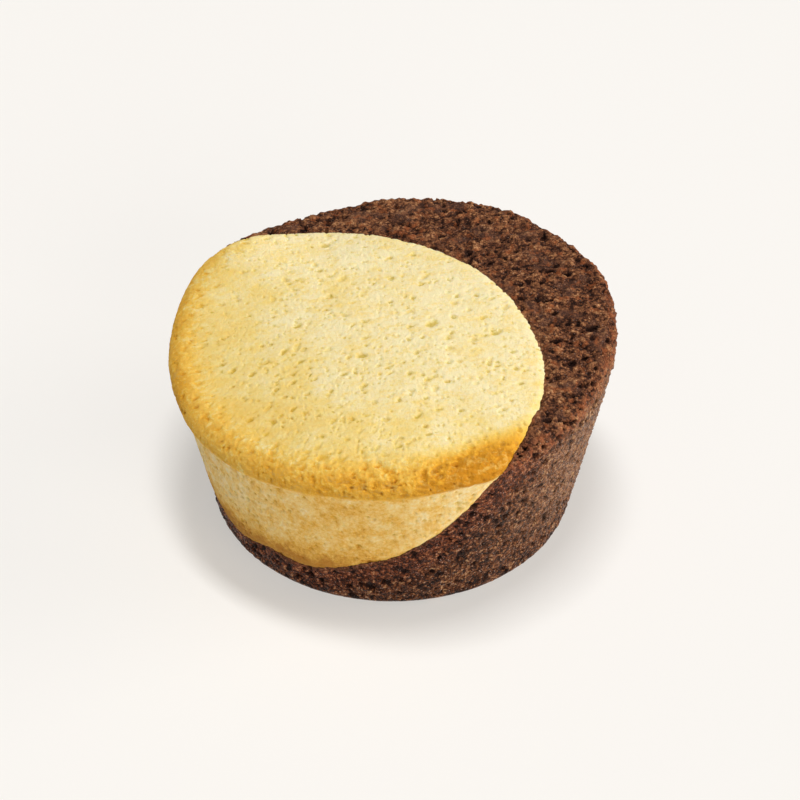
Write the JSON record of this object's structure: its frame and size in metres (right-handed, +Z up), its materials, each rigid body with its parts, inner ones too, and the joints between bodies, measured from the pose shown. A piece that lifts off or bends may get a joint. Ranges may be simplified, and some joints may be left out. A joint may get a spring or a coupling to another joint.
{
  "type": "madeleine cake",
  "caption": "Small round tapered sponge cake in two tones: a pale vanilla portion with a browned rounded shoulder, set like a bowl into a dark chocolate cake.",
  "frame": {"origin": "centre of the cake's flat round base, on the surface it rests on", "axes": "+Z up, -Y towards the shown front, where the vanilla side meets the chocolate side; +X towards the chocolate's right side"},
  "size_m": [0.0597, 0.0592, 0.03],
  "materials": {
    "vanilla_sponge": "baked vanilla sponge, pale cream with a golden brown crust at the shoulder",
    "chocolate_sponge": "baked chocolate sponge, dark brown rough crumb with a faint sheen on the side"
  },
  "bodies": {
    "root": {"vanilla_sponge": "vanilla_sponge", "chocolate_sponge": "chocolate_sponge"}
  },
  "joints": []
}
